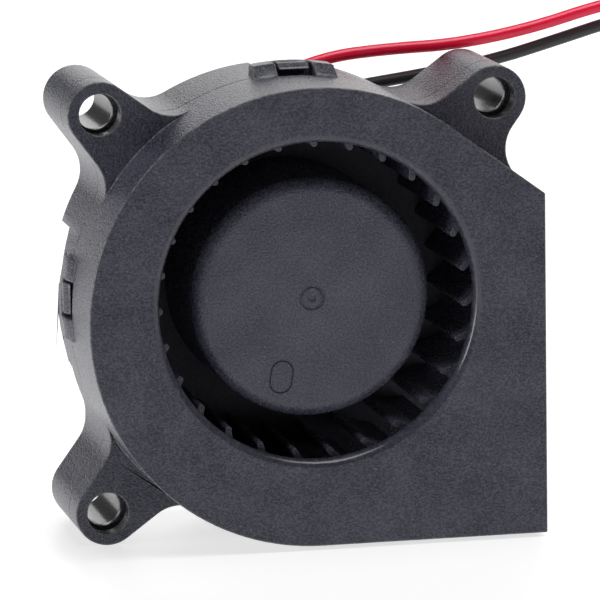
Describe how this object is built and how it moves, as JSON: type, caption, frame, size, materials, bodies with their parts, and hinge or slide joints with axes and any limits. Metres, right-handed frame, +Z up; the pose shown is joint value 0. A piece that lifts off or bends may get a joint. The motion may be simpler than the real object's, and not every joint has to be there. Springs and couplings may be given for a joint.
{
  "type": "dc blower fan",
  "caption": "Small snap-together centrifugal blower with a scroll housing, mounting ears, drum impeller, brushless motor and two coiled leads with a connector.",
  "frame": {"origin": "middle of the housing's footprint on the surface that it stands on", "axes": "+Z up, +X out of the air outlet, -Y towards the air inlet, so the impeller turns about Y"},
  "size_m": [0.0953, 0.0246, 0.0451],
  "materials": {
    "shell_plastic": "fine grained black-grey moulding",
    "rotor_plastic": "satin black-grey moulding",
    "steel": "turned and pressed steel",
    "bearing_brass": "turned brass",
    "bearing_bronze": "sintered bronze with oil",
    "magnet": "bonded ferrite",
    "core_steel": "stacked electrical steel",
    "insulator": "natural nylon",
    "copper": "enamelled copper wire",
    "board": "green solder mask",
    "solder": "bright solder",
    "part_case": "moulded epoxy",
    "ceramic": "fired ceramic",
    "washer_plastic": "low-friction plastic",
    "red_sleeve": "smooth flexible wire cover",
    "black_sleeve": "smooth flexible wire cover",
    "plug_plastic": "natural nylon"
  },
  "bodies": {
    "housing": {"front_cover": "shell_plastic", "rear_housing": "shell_plastic", "bearing_tube": "bearing_brass", "sleeve_bearing": "bearing_bronze", "oil_seal_washer": "washer_plastic", "thrust_pad": "washer_plastic", "stator_core": "core_steel", "front_insulator": "insulator", "rear_insulator": "insulator", "winding_1": "copper", "winding_2": "copper", "winding_3": "copper", "winding_4": "copper", "circuit_board": "board", "terminal_pin_1": "steel", "terminal_pin_2": "steel", "terminal_pin_3": "steel", "pin_solder_1": "solder", "pin_solder_2": "solder", "pin_solder_3": "solder", "driver_chip": "part_case", "capacitor": "ceramic", "resistor": "part_case", "red_lead": "red_sleeve", "black_lead": "black_sleeve", "red_lead_coil": "red_sleeve", "black_lead_coil": "black_sleeve", "red_lead_solder": "solder", "black_lead_solder": "solder", "connector_housing": "plug_plastic", "contact_1": "steel", "contact_2": "steel"},
    "rotor": {"impeller": "rotor_plastic", "yoke_cup": "steel", "ring_magnet": "magnet", "shaft_bush": "bearing_brass", "shaft": "steel", "retaining_ring": "washer_plastic"}
  },
  "joints": [
    {"name": "impeller_spin", "type": "hinge", "parent": "housing", "child": "rotor", "pos_m": [0, 0, 0.02175], "axis": [0, -1, 0], "continuous": true}
  ]
}
